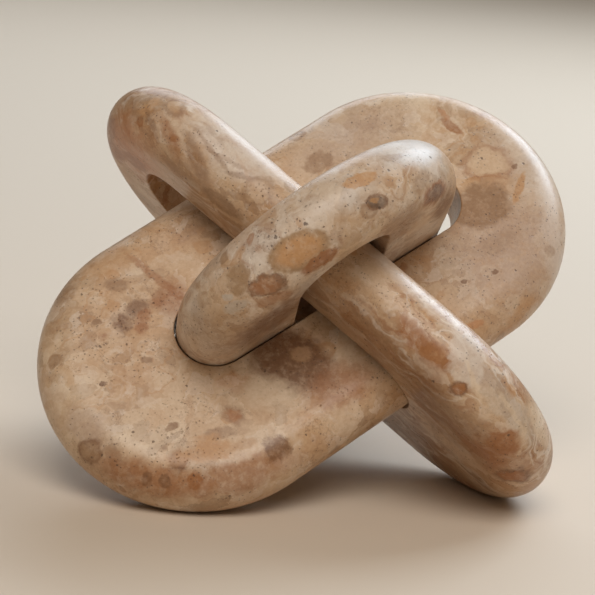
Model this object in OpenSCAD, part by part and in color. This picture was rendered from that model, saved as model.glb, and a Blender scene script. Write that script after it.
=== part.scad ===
// Knot of three slotted stone links, each one passed through the slot of the next.
// The broad link lies in the crossing link's slot, the crossing link in the front link's slot,
// and the front link in the broad link's slot. Every slot is cut along the link that passes
// through it. The front link is two halves, pinned and bonded in the middle, because three
// closed rings can't be put together in this way.
// Millimetres, +Z up, with the origin on the table under the middle of the knot.

/* [Link sizes] */
// Thickness of the stone, and so the diameter of its full-round outer edge
link_t = 27; // [24:0.5:30]
// Length of the broad link, end to end
broad_len = 217; // [205:1:235]
// Width of the broad link
broad_w = 113; // [105:1:122]
// Length of the crossing link
cross_len = 214; // [200:1:230]
// Width of the crossing link
cross_w = 103; // [95:1:112]
// Length of the front link
front_len = 202; // [190:1:220]
// Width of the front link
front_w = 115; // [105:1:124]

/* [Slots] */
// Smallest gap left where a link rests in a corner of the slot round it
seat_gap = 0.32; // [0.3:0.01:0.5]
// Play across the broad link's slot, past the thickness of the front link
broad_play = 1.6; // [1.4:0.1:3]
// Play across the crossing link's slot, past the thickness of the broad link
cross_play = 8; // [6:0.1:10]
// Play across the front link's slot, past the thickness of the crossing link
front_play = 10; // [8:0.1:12]
// Slack along the broad link's slot, past the width of the front link
broad_slack = 8.6; // [6:0.1:12]
// Slack along the crossing link's slot, past the width of the broad link
cross_slack = 17.5; // [15:0.1:20]
// Slack along the front link's slot, past the width of the crossing link
front_slack = 22; // [18:0.1:26]
// Direction from the front link to its free room in the broad slot, in degrees off the link's width
broad_room = 45; // [30:1:60]
// Direction from the broad link to its free room in the crossing slot
cross_room = -15; // [-60:1:0]
// Direction from the crossing link to its free room in the front slot
front_room = -45; // [-60:1:-30]

/* [Lie of the links] */
// Rise of each link's long axis in the knot, in degrees
rise = 28.9; // [26:0.1:33]
// Roll of each link about its long axis, in degrees
roll = 38.7; // [36:0.1:44]
// Heading of the broad link, in degrees from +X; the others follow a third of a turn apart
heading = 25.7; // [0:0.1:60]
// Shift of the broad link's middle along its own length
broad_shift_long = -4; // [-8:0.1:8]
// Shift of the broad link's middle along its own width
broad_shift_wide = -1.5; // [-8:0.1:8]
// Shift of the broad link's middle along its own thickness
broad_shift_thick = 5; // [-8:0.1:8]
// Shift of the crossing link's middle along its own length
cross_shift_long = -3.1; // [-8:0.1:8]
// Shift of the crossing link's middle along its own width
cross_shift_wide = 0.5; // [-8:0.1:8]
// Shift of the crossing link's middle along its own thickness
cross_shift_thick = 2.6; // [-8:0.1:8]
// Shift of the front link's middle along its own length
front_shift_long = -6.8; // [-8:0.1:8]
// Shift of the front link's middle along its own width
front_shift_wide = 0.1; // [-8:0.1:8]
// Shift of the front link's middle along its own thickness
front_shift_thick = 3; // [-8:0.1:8]
// Depth of the small flat that is ground on the low end of each link
foot_flat = 0.4; // [0.2:0.1:0.8]

/* [Seam of the front link] */
// Thickness of the resin between the two halves
bond_t = 0.4; // [0.2:0.1:1]
// Diameter of a dowel pin
dowel_d = 8; // [5:0.5:12]
// Length of a dowel pin
dowel_len = 44; // [30:1:60]
// Room left for resin all round a dowel pin
dowel_room = 0.1; // [0.05:0.05:0.3]

/* [Hidden] */

// Facets of a full turn
$fn = 96;
// Passes in which the knot is tipped on to its three feet
settle_passes = 6;

dowel_hole_d = dowel_d + 2 * dowel_room;
dowel_hole_len = dowel_len + 2 * dowel_room;

broad_shift = [broad_shift_long, broad_shift_wide, broad_shift_thick];
cross_shift = [cross_shift_long, cross_shift_wide, cross_shift_thick];
front_shift = [front_shift_long, front_shift_wide, front_shift_thick];
// A link is [third of the turn that it heads to, length, width, shift, slack and play of the slot
// round it, direction of the free room in that slot]
broad = [0, broad_len, broad_w, broad_shift, cross_slack, cross_play, cross_room];
crossing = [1, cross_len, cross_w, cross_shift, front_slack, front_play, front_room];
front = [2, front_len, front_w, front_shift, broad_slack, broad_play, broad_room];
links = [broad, crossing, front];

function link_heading(link) = heading + 120 * link[0];
function link_len(link) = link[1];
function link_w(link) = link[2];
function link_shift(link) = link[3];
function slack_round(link) = link[4];
function play_round(link) = link[5];
function room_turn(link) = link[6];
function slot_w(link) = link_t + play_round(link);
// How far a slot lies off the link inside, along its outline and across it
function slot_off(link) = (play_round(link) / 2 - seat_gap) * [cos(room_turn(link)), sin(room_turn(link))];
function straight_len(link) = link_len(link) - link_w(link);

// The middle line of a limb of the front link, from the middle of the slot to its edge
front_limb_middle = (front_w + slot_w(crossing)) / 4;
// More than the knot reaches in any direction
beyond = broad_len + cross_len + front_len;

// Turning a vector about one axis, and from the knot's axes to a link's own and back
function about_x(v, a) = [v.x, v.y * cos(a) - v.z * sin(a), v.y * sin(a) + v.z * cos(a)];
function about_y(v, a) = [v.x * cos(a) + v.z * sin(a), v.y, v.z * cos(a) - v.x * sin(a)];
function about_z(v, a) = [v.x * cos(a) - v.y * sin(a), v.x * sin(a) + v.y * cos(a), v.z];
function to_knot(link, v) = about_z(about_y(about_x(v, roll), -rise), link_heading(link));
function to_link(link, v) = about_x(about_y(about_z(v, -link_heading(link)), rise), -roll);
function unit(v) = v / norm(v);

// The point of a link's skin that lies furthest along a direction of the knot:
// the end of its middle line, then out to its edge circle, then out by half its thickness
function furthest(link, along) =
    let (d = to_link(link, unit(along)))
    let (end = [sign(d.x) * straight_len(link) / 2, 0, 0])
    let (edge = unit([d.x, d.y, 0]) * (link_w(link) - link_t) / 2)
    to_knot(link, link_shift(link) + end + edge + d * link_t / 2);
function reach_along(along) = max([for (link = links) furthest(link, along) * unit(along)]);

// The upright of the plane under the three low ends, found in a few passes
function plane_up(p) = unit(cross(p[1] - p[0], p[2] - p[0]));
function settle(up, passes) = passes == 0
    ? up
    : settle(plane_up([for (link = links) furthest(link, -up)]), passes - 1);
up = settle([0, 0, 1], settle_passes);

// The knot is tipped so that this upright becomes +Z, and moved so that it stands on the table
tip_axis = unit(cross(up, [0, 0, 1]));
tip_angle = acos(up.z);
function untip(v) = v * cos(tip_angle) - cross(tip_axis, v) * sin(tip_angle)
    + tip_axis * (tip_axis * v) * (1 - cos(tip_angle));
function off_middle(along) = (reach_along(untip(along)) - reach_along(untip(-along))) / 2;
knot_place = [-off_middle([1, 0, 0]), -off_middle([0, 1, 0]), reach_along(untip([0, 0, -1])) - foot_flat];

// Half of a link's cross-section, from its middle line out to its full-round edge
module half_section(width) {
    translate([0, -link_t / 2]) square([(width - link_t) / 2, link_t]);
    translate([(width - link_t) / 2, 0]) circle(d = link_t);
}

// A cross-section carried straight along X from one place to another
module along_x(from, to) {
    translate([from, 0, 0]) rotate([90, 0, 90]) linear_extrude(to - from) children();
}

// Both limbs of a slab, as wide as a link, from one place on its length to another
module slab(link, from, to) {
    along_x(from, to) for (side = [0, 1]) mirror([side, 0]) half_section(link_w(link));
}

// The round end of a slab at its +X end
module slab_end(link) {
    translate([straight_len(link) / 2, 0, 0]) rotate(-90) rotate_extrude(angle = 180) intersection() {
        half_section(link_w(link));
        translate([0, -link_t]) square([link_w(link), 2 * link_t]);
    }
}

// The outline of the slot round a link, in that link's cross-section: it comes close to the link
// in one corner of its low end, and leaves the play and the slack on the other sides
module slot_outline(link) {
    straight = link_w(link) + slack_round(link) - slot_w(link);
    translate([(slack_round(link) - play_round(link)) / 2, 0] + slot_off(link)) {
        square([straight, slot_w(link)], center = true);
        for (side = [-1, 1]) translate([side * straight / 2, 0]) circle(d = slot_w(link));
    }
}

// The way through a slot for a link, along that link's length
module passage(link) {
    in_knot(link) along_x(-link_len(link) / 2, link_len(link) / 2) slot_outline(link);
}

// A whole slab with two round ends
module whole_slab(link) {
    slab(link, -straight_len(link) / 2, straight_len(link) / 2);
    slab_end(link);
    rotate(180) slab_end(link);
}

// The +X half of a slab, cut back by half the bond, with a blind hole for each dowel
module half_slab(link) {
    difference() {
        union() {
            slab(link, bond_t / 2, straight_len(link) / 2);
            slab_end(link);
        }
        for (side = [-1, 1]) dowel_at(side, dowel_hole_d, dowel_hole_len);
    }
}

// A round pin along X across the seam, in the middle of one limb of the front link
module dowel_at(side, d, length) {
    translate([-length / 2, side * front_limb_middle, 0]) rotate([0, 90, 0]) cylinder(h = length, d = d);
}

// The resin across one limb of the front link
module bond_at(side) {
    along_x(-bond_t / 2, bond_t / 2) mirror([side < 0 ? 1 : 0, 0]) difference() {
        half_section(front_w);
        translate([front_limb_middle, 0]) circle(d = dowel_hole_d);
    }
}

// A piece brought from a link's own axes into the standing knot
module in_knot(link) {
    translate(knot_place) rotate(tip_angle, tip_axis) rotate([roll, -rise, link_heading(link)])
        translate(link_shift(link)) children();
}

// A piece of a link in the standing knot, slotted for the link inside and ground flat on the table
module stone(link, inside) {
    difference() {
        in_knot(link) children();
        passage(inside);
        translate([-beyond / 2, -beyond / 2, -beyond]) cube(beyond);
    }
}

module broad_link() { color("tan") stone(broad, front) whole_slab(broad); }
module crossing_link() { color("rosybrown") stone(crossing, broad) whole_slab(crossing); }
module front_link_near_half() { color("wheat") stone(front, crossing) half_slab(front); }
module front_link_far_half() { color("wheat") stone(front, crossing) rotate(180) half_slab(front); }
module left_dowel() { color("silver") in_knot(front) dowel_at(-1, dowel_d, dowel_len); }
module right_dowel() { color("silver") in_knot(front) dowel_at(1, dowel_d, dowel_len); }
module left_bond() { color("ivory") stone(front, crossing) bond_at(-1); }
module right_bond() { color("ivory") stone(front, crossing) bond_at(1); }

broad_link();
crossing_link();
front_link_near_half();
front_link_far_half();
left_dowel();
right_dowel();
left_bond();
right_bond();
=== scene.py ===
"""Looks for the stone knot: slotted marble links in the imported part's frame, in metres.

The links repeat the sizes and the lie of the part's source. Each one is a closed grid,
a section carried round the link's path, from the wall of its slot to its full-round edge.
"""

from __future__ import annotations

import logging
import math
from dataclasses import dataclass, replace
from enum import Enum
from typing import Any

import bpy
import numpy as np
from mathutils import Matrix, Vector
from mathutils.bvhtree import BVHTree
from numpy.typing import NDArray


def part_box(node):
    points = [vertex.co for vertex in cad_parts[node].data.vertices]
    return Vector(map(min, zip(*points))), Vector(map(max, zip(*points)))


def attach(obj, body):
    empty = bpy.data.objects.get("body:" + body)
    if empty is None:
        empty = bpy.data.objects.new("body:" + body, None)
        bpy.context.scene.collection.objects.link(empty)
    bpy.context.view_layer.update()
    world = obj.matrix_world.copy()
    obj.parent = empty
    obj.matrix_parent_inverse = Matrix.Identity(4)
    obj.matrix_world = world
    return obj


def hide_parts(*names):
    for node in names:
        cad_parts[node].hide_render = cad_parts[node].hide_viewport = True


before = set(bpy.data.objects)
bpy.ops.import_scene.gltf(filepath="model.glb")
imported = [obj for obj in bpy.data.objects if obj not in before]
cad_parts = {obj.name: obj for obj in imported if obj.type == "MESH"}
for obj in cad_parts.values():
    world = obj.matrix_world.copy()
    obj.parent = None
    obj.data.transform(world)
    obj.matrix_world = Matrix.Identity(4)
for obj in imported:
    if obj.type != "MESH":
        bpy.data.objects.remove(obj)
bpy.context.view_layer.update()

Array = NDArray[np.float64]
Triple = tuple[float, float, float]
Lit = tuple[float, float, float, float]

LOG = logging.getLogger("stone_knot")
MM = 0.001
CM_PER_M = 100.0
QUARTER_TURN = math.pi / 2
THIRD_OF_TURN = 120.0
UPRIGHT = np.array([0.0, 0.0, 1.0])
# Edges that bend by more than this are shaded as sharp
SHARP_ANGLE = math.radians(50)
# The middle value of a cloud noise
CLOUD_MIDDLE = 0.5


def linear(colour: Triple) -> Lit:
    """A screen colour of 0 to 255 as the linear colour that a socket takes.

    The screen's curve is a straight foot and then a power of 2.4.

    Args:
        colour: red, green and blue as a screen shows them.

    Returns:
        Linear red, green and blue, and an alpha of one.
    """
    parts = [value / 255 for value in colour]
    lit = [part / 12.92 if part <= 0.04045 else ((part + 0.055) / 1.055) ** 2.4 for part in parts]
    return (lit[0], lit[1], lit[2], 1.0)


class Tone(Enum):
    """Colours of the stone, as a screen shows them."""

    CREAM = (216, 192, 163)
    CHALK = (228, 214, 198)
    BEIGE = (198, 167, 134)
    SAND = (183, 145, 108)
    OCHRE = (184, 138, 92)
    ORANGE = (182, 116, 66)
    RUST = (152, 98, 55)
    TAUPE = (147, 112, 80)
    OLIVE = (158, 126, 92)
    BROWN = (120, 82, 53)
    DARK = (80, 56, 41)
    PIT = (74, 55, 44)
    MAUVE = (180, 154, 134)
    GREY = (190, 177, 162)
    PEARL = (212, 197, 181)

    @property
    def lit(self) -> Lit:
        """The tone as a linear colour."""
        return linear(self.value)


@dataclass(frozen=True)
class PhotoView:
    """The camera at the photograph's viewing angle, with lengths in metres and angles in degrees.

    The picture is a square, and pixels is the length of its side.
    """

    azimuth: float = -7.93
    elevation: float = 13.13
    roll: float = 4.74
    distance: float = 0.877
    aim: Triple = (-0.0020, -0.0008, 0.0634)
    lens_mm: float = 142.5
    sensor_mm: float = 36.0
    pixels: float = 595.0
    near_clip: float = 0.05
    far_clip: float = 60.0

    def axes(self) -> tuple[Array, Array, Array]:
        """Directions to the right, up and back towards the camera.

        Returns:
            Three unit vectors in the part's frame.
        """
        side, lift, tilt = np.radians([self.azimuth, self.elevation, self.roll])
        back = np.array([np.sin(side) * np.cos(lift), -np.cos(side) * np.cos(lift), np.sin(lift)])
        level = np.cross(-back, UPRIGHT)
        level /= np.linalg.norm(level)
        above = np.cross(level, -back)
        right = np.cos(tilt) * level + np.sin(tilt) * above
        return right, np.cross(back, right), back

    def place(self) -> Array:
        """Where the camera stands."""
        return np.array(self.aim) + self.axes()[2] * self.distance

    def pixel_size(self) -> float:
        """The size of a pixel at one metre from the camera."""
        return self.sensor_mm / self.lens_mm / self.pixels

    def ray(self, pixel: tuple[float, float]) -> Array:
        """The direction from the camera through a pixel of the picture.

        Args:
            pixel: place in the picture, to the right and down from its top left corner.

        Returns:
            A unit vector in the part's frame.
        """
        right, above, back = self.axes()
        across = (pixel[0] - self.pixels / 2) * self.pixel_size()
        down = (pixel[1] - self.pixels / 2) * self.pixel_size()
        direction = across * right - down * above - back
        return direction / np.linalg.norm(direction)

    def make(self) -> None:
        """Adds the camera to the scene and makes it the scene's own."""
        lens = bpy.data.cameras.new("photo_view")
        lens.lens = self.lens_mm
        lens.sensor_width = self.sensor_mm
        lens.clip_start = self.near_clip
        lens.clip_end = self.far_clip
        camera = bpy.data.objects.new("photo_view", lens)
        turn = Matrix(np.stack(self.axes(), axis=1).tolist()).to_4x4()
        camera.matrix_world = Matrix.Translation(self.place().tolist()) @ turn
        bpy.context.scene.collection.objects.link(camera)
        bpy.context.scene.camera = camera


@dataclass(frozen=True)
class LinkForm:
    """Sizes of one link, in metres, as in the part's source.

    Attributes:
        third: thirds of a turn from the broad link's heading to this link's.
        length: of the link, end to end.
        width: of the link, over both limbs.
        shift: of its middle, along its own length, width and thickness.
        slack_round: by how much the slot round the link is longer than the link is wide.
        play_round: by how much the slot round the link is wider than the link is thick.
        room_turn: direction of the free room in that slot, in degrees off the link's width.
        seat_gap: the gap where the link rests in a corner of that slot.
        thickness: of the stone.
    """

    third: int
    length: float
    width: float
    shift: Triple
    slack_round: float
    play_round: float
    room_turn: float
    seat_gap: float = 0.32 * MM
    thickness: float = 27 * MM

    @property
    def straight(self) -> float:
        """Length of the straight part of the link's path."""
        return self.length - self.width

    @property
    def edge_reach(self) -> float:
        """From the link's middle line out to the middle of its round edge."""
        return (self.width - self.thickness) / 2

    @property
    def slot_width(self) -> float:
        """Width of the slot round the link."""
        return self.thickness + self.play_round

    @property
    def slot_off(self) -> Array:
        """How far the slot round the link lies off the link.

        Returns:
            The offset in the link's own axes, along its width and its thickness.
        """
        turn = math.radians(self.room_turn)
        off = self.play_round / 2 - self.seat_gap
        return np.array([0.0, off * math.cos(turn), off * math.sin(turn)])

    def furthest(self, along: Array) -> Array:
        """The point of the link's skin that lies furthest along a direction.

        It is the end of the middle line, then out to the edge circle, then out by half the thickness.

        Args:
            along: unit direction in the link's own axes.

        Returns:
            The point in the link's own axes, with the link's shift in the knot.
        """
        end = np.array([np.sign(along[0]) * self.straight / 2, 0.0, 0.0])
        flat = np.array([along[0], along[1], 0.0])
        edge = flat / np.linalg.norm(flat) * self.edge_reach
        return np.array(self.shift) + end + edge + along * self.thickness / 2


@dataclass(frozen=True)
class LinkPlace:
    """Where a link lies: its middle, and its long, wide and thick directions as columns."""

    middle: Array
    axes: Array

    def to_knot(self, points: Array) -> Array:
        """Points from the link's own axes into the part's frame."""
        return points @ self.axes.T + self.middle

    def to_own(self, vectors: Array) -> Array:
        """Directions from the part's frame into the link's own axes."""
        return vectors @ self.axes


@dataclass(frozen=True)
class KnotLie:
    """How the links lean round one another, in degrees, and how the knot stands on its low ends."""

    rise: float = 28.9
    roll: float = 38.7
    heading: float = 25.7
    foot_flat: float = 0.4 * MM
    settle_passes: int = 6

    def axes(self, form: LinkForm) -> Array:
        """The turn from a link's own axes to the knot's: its roll, then its rise, then its heading.

        Args:
            form: the link.

        Returns:
            A turn of three rows and columns.
        """
        heading = Matrix.Rotation(math.radians(self.heading + THIRD_OF_TURN * form.third), 3, "Z")
        rise = Matrix.Rotation(math.radians(-self.rise), 3, "Y")
        roll = Matrix.Rotation(math.radians(self.roll), 3, "X")
        return np.array(heading @ rise @ roll)

    def far_point(self, form: LinkForm, along: Array) -> Array:
        """The point of a link that lies furthest along a unit direction of the knot."""
        axes = self.axes(form)
        return axes @ form.furthest(axes.T @ along)

    def reach(self, forms: list[LinkForm], along: Array) -> float:
        """How far the knot reaches along a unit direction."""
        return max(float(self.far_point(form, along) @ along) for form in forms)

    def stand(self, forms: list[LinkForm]) -> list[LinkPlace]:
        """Tips the knot on to its three low ends and centres it over the origin.

        The upright is the normal of the plane under the three low ends, found in a few passes.

        Args:
            forms: the links, in the order of their headings.

        Returns:
            The place of each link.
        """
        up = UPRIGHT
        for _ in range(self.settle_passes):
            low = [self.far_point(form, -up) for form in forms]
            up = np.cross(low[1] - low[0], low[2] - low[0])
            up = up / np.linalg.norm(up)
        tip = np.array(Vector(up).rotation_difference(Vector(UPRIGHT)).to_matrix())
        untip = tip.T
        middles = [
            (self.reach(forms, untip @ axis) - self.reach(forms, -(untip @ axis))) / 2
            for axis in np.eye(3)[:2]
        ]
        lift = self.reach(forms, -(untip @ UPRIGHT)) - self.foot_flat
        place = np.array([-middles[0], -middles[1], lift])
        turns = [tip @ self.axes(form) for form in forms]
        return [LinkPlace(place + turn @ np.array(form.shift), turn) for turn, form in zip(turns, forms)]


@dataclass(frozen=True)
class Passage:
    """A slot seen in the axes of the link that it cuts: a stadium carried along the link inside."""

    middle: Array
    wide: Array
    thick: Array
    along: Array
    half_straight: float
    radius: float

    @classmethod
    def round_link(cls, inner: LinkForm, at: LinkPlace, host: LinkPlace) -> Passage:
        """The passage for one link in the axes of the link round it.

        Args:
            inner: the link inside the slot.
            at: where the inner link lies.
            host: where the slotted link lies.

        Returns:
            The passage.
        """
        slide = (inner.slack_round - inner.play_round) / 2
        middle = at.to_knot(np.array([0.0, slide, 0.0]) + inner.slot_off)
        along, wide, thick = host.to_own(at.axes.T)
        straight = inner.width + inner.slack_round - inner.slot_width
        return cls(
            middle=host.to_own(middle - host.middle),
            wide=wide,
            thick=thick,
            along=along,
            half_straight=straight / 2,
            radius=inner.slot_width / 2,
        )

    def turned(self, flip: Array) -> Passage:
        """The same passage in axes whose signs are flipped."""
        vectors = {name: getattr(self, name) * flip for name in ("middle", "wide", "thick", "along")}
        return replace(self, **vectors)

    def ring(self, start: float, share: Array, angle: Array, heights: Array) -> Array:
        """Half of the slot's outline at several heights of the slotted link.

        A point of the stadium is slid along the inner link until it has the height. Its place in
        that plane is then a sum: the middle at that height, plus u times the sheared width, plus v
        times the sheared thickness. The straight parts start where the slotted link is cut.

        Args:
            start: distance along the slotted link at which the half starts and ends.
            share: of each row, the share of the straight part that is passed, one on the round end.
            angle: of each row, the angle on the round end, from minus to plus a quarter turn.
            heights: heights in the slotted link's thickness.

        Returns:
            Points as rows by heights by three.
        """
        shear = self.along / self.along[2]
        wide = self.wide - shear * self.wide[2]
        thick = self.thick - shear * self.thick[2]
        middle = self.middle + shear * (heights[:, None] - self.middle[2])
        ahead = np.sign(wide[0])
        v = np.sign(thick[1]) * self.radius * np.sin(angle)[:, None]
        first = (start - middle[None, :, 0] - v * thick[0]) / wide[0]
        u = first + share[:, None] * (ahead * self.half_straight - first)
        u = u + ahead * self.radius * np.cos(angle)[:, None] * (share[:, None] >= 1)
        return middle[None] + u[..., None] * wide + v[..., None] * thick


@dataclass(frozen=True)
class GridCounts:
    """How many steps a link's grid has along each part of its path and of its section."""

    straight: int = 36
    end: int = 96
    wall: int = 14
    rim: int = 5
    face: int = 14
    edge: int = 36


@dataclass(frozen=True)
class DowelHole:
    """A blind hole for a dowel pin in the seam of a half link, with room for resin round the pin."""

    off_middle: float
    pin_width: float = 8 * MM
    pin_length: float = 44 * MM
    room: float = 0.1 * MM

    @property
    def radius(self) -> float:
        """From the hole's middle line to its wall."""
        return self.pin_width / 2 + self.room

    @property
    def depth(self) -> float:
        """From the middle of the link to the hole's bottom."""
        return self.pin_length / 2 + self.room


def even_steps(count: int) -> Array:
    """Evenly spaced shares from nought to one, with both ends."""
    return np.linspace(0.0, 1.0, count + 1)


def grid_faces(rows: int, ring: int, loop: bool) -> Array:
    """Quads of a grid that closes round its ring, and round its rows too if it is a loop.

    Args:
        rows: number of rows.
        ring: points in each row.
        loop: whether the last row joins the first.

    Returns:
        Four point numbers for each quad.
    """
    row = np.arange(rows if loop else rows - 1)[:, None]
    place = np.arange(ring)[None, :]
    after = (row + 1) % rows
    beside = (place + 1) % ring
    corners = [row * ring + place, after * ring + place, after * ring + beside, row * ring + beside]
    return np.stack(corners, axis=-1).reshape(-1, 4)


def enclosed(points: Array, quads: Array) -> float:
    """The volume inside a closed grid, below nought where its faces point inwards."""
    a, b, c, d = (points[quads[:, corner]] for corner in range(4))
    return float(np.sum(np.cross(a, b) * c) + np.sum(np.cross(a, c) * d)) / 6


def solid(name: str, points: Array, quads: Array, ends: list[list[int]]) -> bpy.types.Object:
    """A mesh object of a closed grid, with its faces turned outwards and shaded smooth.

    Args:
        name: name of the piece.
        points: its points.
        quads: its quads.
        ends: the outlines that close an open grid.

    Returns:
        The object, linked to the scene.
    """
    faces = [*quads.tolist(), *ends]
    if enclosed(points, quads) < 0:
        faces = [face[::-1] for face in faces]
    mesh = bpy.data.meshes.new(name)
    mesh.from_pydata(points.tolist(), [], faces)
    mesh.validate()
    mesh.shade_smooth()
    mesh.set_sharp_from_angle(angle=SHARP_ANGLE)
    piece = bpy.data.objects.new(name, mesh)
    bpy.context.scene.collection.objects.link(piece)
    return piece


@dataclass(frozen=True)
class StoneLink:
    """One slotted link in its place, and the meshes of the whole or of its halves."""

    form: LinkForm
    place: LinkPlace
    passage: Passage
    counts: GridCounts = GridCounts()
    rim_round: float = 0.7 * MM

    def half(self, towards: int, start: float) -> Array:
        """The grid over one half of the link, in the link's own axes.

        Each row is a closed section: up the slot's wall, over its rounded rim, out along the upper
        face, round the edge by half a turn, and back along the lower face and its rim. The rows go
        out along one limb, round the end and back along the other limb.

        Args:
            towards: one for the half on the long direction, minus one for the other half.
            start: distance from the link's middle at which the half is cut.

        Returns:
            Points as rows by ring by three.
        """
        counts = self.counts
        half_thick = self.form.thickness / 2
        flip = np.array([towards, towards, 1.0])
        passage = self.passage.turned(flip)
        out = even_steps(counts.straight)
        turn = np.linspace(-QUARTER_TURN, QUARTER_TURN, counts.end + 1)
        share = np.concatenate([out[:-1], np.ones(counts.end), out[::-1]])
        leaving = np.full(counts.straight, turn[0])
        returning = np.full(counts.straight + 1, turn[-1])
        angle = np.concatenate([leaving, turn[:-1], returning])
        on_end = (share >= 1).astype(float)
        along = start + share * (self.form.straight / 2 - start)
        normal = np.stack([np.cos(angle) * on_end, np.sin(angle), np.zeros_like(angle)], axis=1)
        spine = np.stack([along, np.zeros_like(along), np.zeros_like(along)], axis=1)

        heights = (half_thick - self.rim_round) * (2 * even_steps(counts.wall) - 1)
        wall = passage.ring(start, share, angle, heights)
        corners = passage.ring(start, share, angle, np.array([half_thick, -half_thick]))
        bend = np.linspace(QUARTER_TURN, -QUARTER_TURN, counts.edge + 1)
        reach = self.form.edge_reach + half_thick * np.cos(bend)
        edge = spine[:, None] + normal[:, None] * reach[None, :, None]
        edge[..., 2] = half_thick * np.sin(bend)

        upper = self.rim_and_face(wall[:, -1], corners[:, 0], edge[:, 0])
        lower = self.rim_and_face(wall[:, 0], corners[:, 1], edge[:, -1])[:, ::-1]
        rows = np.concatenate([wall[:, :-1], upper[:, :-1], edge[:, :-1], lower[:, :-1]], axis=1)
        return rows * flip

    def rim_and_face(self, wall: Array, corner: Array, edge: Array) -> Array:
        """From the slot's wall over its rim to the start of the round edge.

        The rim is a quadratic curve whose middle control point is the sharp corner.

        Args:
            wall: where the rim starts on the wall, of each row.
            corner: the sharp corner of wall and face, of each row.
            edge: where the face meets the round edge, of each row.

        Returns:
            Points as rows by steps by three.
        """
        outward = edge - corner
        reach = np.linalg.norm(outward, axis=1, keepdims=True)
        landing = corner + outward / reach * self.rim_round
        step = even_steps(self.counts.rim)[None, :, None]
        rim = (
            (1 - step) ** 2 * wall[:, None]
            + 2 * step * (1 - step) * corner[:, None]
            + step**2 * landing[:, None]
        )
        way = even_steps(self.counts.face)[None, :, None]
        face = landing[:, None] * (1 - way) + edge[:, None] * way
        return np.concatenate([rim[:, :-1], face], axis=1)

    def stood(self, rows: Array) -> Array:
        """Grid points in the part's frame, ground flat where they would be under the table.

        Args:
            rows: points in the link's own axes, as rows by ring by three.

        Returns:
            The points as one list.
        """
        points = self.place.to_knot(rows.reshape(-1, 3))
        points[:, 2] = np.maximum(points[:, 2], 0.0)
        return points

    def whole(self, name: str) -> bpy.types.Object:
        """The whole link as one closed grid."""
        rows = np.concatenate([self.half(1, 0.0), self.half(-1, 0.0)[1:-1]])
        return solid(name, self.stood(rows), grid_faces(len(rows), rows.shape[1], True), [])

    def half_piece(self, name: str, towards: int, start: float, hole: DowelHole) -> bpy.types.Object:
        """One half of the link, closed at its seam, with a blind dowel hole in each limb.

        The seam is a flat band from the section in to the hole's rim, along rays from the hole's middle.

        Args:
            name: name of the piece.
            towards: one for the half on the long direction, minus one for the other half.
            start: distance from the link's middle at which the half is cut.
            hole: the dowel hole.

        Returns:
            The piece, in its place.
        """
        rows = self.half(towards, start)
        before = self.hole_rows(rows[0], towards, -towards, start, hole)
        after = self.hole_rows(rows[-1], towards, towards, start, hole)
        rows = np.concatenate([before[::-1], rows, after])
        ring = rows.shape[1]
        last = (len(rows) - 1) * ring
        ends = [list(range(ring)), list(range(last + ring - 1, last - 1, -1))]
        return solid(name, self.stood(rows), grid_faces(len(rows), ring, False), ends)

    @staticmethod
    def hole_rows(section: Array, towards: int, side: int, start: float, hole: DowelHole) -> Array:
        """The rim and the bottom circle of a dowel hole, on the rays of a section's points.

        Args:
            section: the link's section at the seam.
            towards: one for the half on the long direction, minus one for the other half.
            side: one for the limb on the wide direction, minus one for the other limb.
            start: distance from the link's middle to the seam.
            hole: the dowel hole.

        Returns:
            Two rows of points in the link's own axes.
        """
        middle = np.array([towards * start, side * hole.off_middle, 0.0])
        ray = section - middle
        ray[:, 0] = 0.0
        circle = middle + ray / np.linalg.norm(ray, axis=1, keepdims=True) * hole.radius
        deep = circle + np.array([towards * (hole.depth - start), 0.0, 0.0])
        return np.stack([circle, deep])


class Wire:
    """One output of a node. Python's operators on it add Math nodes."""

    def __init__(self, board: Board, socket: bpy.types.NodeSocket) -> None:
        """Keeps the board that the node is on and the socket."""
        self.board = board
        self.socket = socket

    def _math(self, operation: str, first: Wire | float, second: Wire | float) -> Wire:
        """A Math node on two values."""
        return self.board.node("ShaderNodeMath", {"operation": operation}, {0: first, 1: second})

    def __add__(self, other: Wire | float) -> Wire:
        """The sum of two values."""
        return self._math("ADD", self, other)

    def __radd__(self, other: float) -> Wire:
        """The sum of two values."""
        return self._math("ADD", other, self)

    def __sub__(self, other: Wire | float) -> Wire:
        """This value less another."""
        return self._math("SUBTRACT", self, other)

    def __rsub__(self, other: float) -> Wire:
        """Another value less this one."""
        return self._math("SUBTRACT", other, self)

    def __mul__(self, other: Wire | float) -> Wire:
        """The product of two values."""
        return self._math("MULTIPLY", self, other)

    def __rmul__(self, other: float) -> Wire:
        """The product of two values."""
        return self._math("MULTIPLY", other, self)

    def __lt__(self, other: Wire | float) -> Wire:
        """One where this value is below another, else nought."""
        return self._math("LESS_THAN", self, other)

    def __abs__(self) -> Wire:
        """The value without its sign."""
        return self._math("ABSOLUTE", self, 0.0)


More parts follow.
